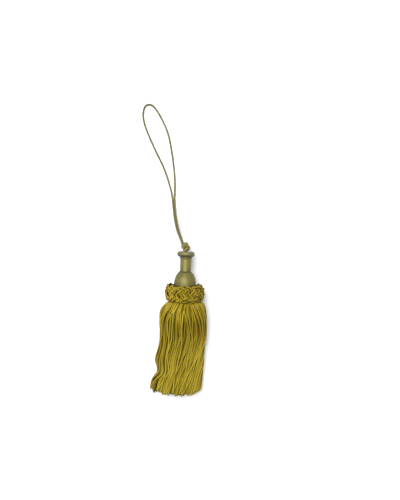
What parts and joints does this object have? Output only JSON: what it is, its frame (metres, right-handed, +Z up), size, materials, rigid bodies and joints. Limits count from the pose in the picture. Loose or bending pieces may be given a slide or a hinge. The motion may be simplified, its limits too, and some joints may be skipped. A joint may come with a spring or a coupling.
{
  "type": "key tassel",
  "caption": "Key tassel lying on its side: turned wooden head, plaited ruff, long yarn skirt and a knotted cord loop for hanging.",
  "frame": {"origin": "on the underside of the ruff, at the middle of the flat spot that it rests on", "axes": "+Z up from the surface that it lies on, +Y along the head's axis towards the cord loop, with the skirt along -Y"},
  "size_m": [0.0656, 0.297, 0.0379],
  "materials": {
    "painted_wood": "turned wood under dull gold paint",
    "ruff_yarn": "plaited lustrous twisted yarn",
    "skirt_yarn": "lustrous twisted yarn, cut ends",
    "gold_cord": "twisted three-ply cord"
  },
  "bodies": {
    "root": {"wood_head": "painted_wood", "ruff": "ruff_yarn", "skirt": "skirt_yarn", "cord_loop": "gold_cord", "cord_knot": "gold_cord"}
  },
  "joints": []
}
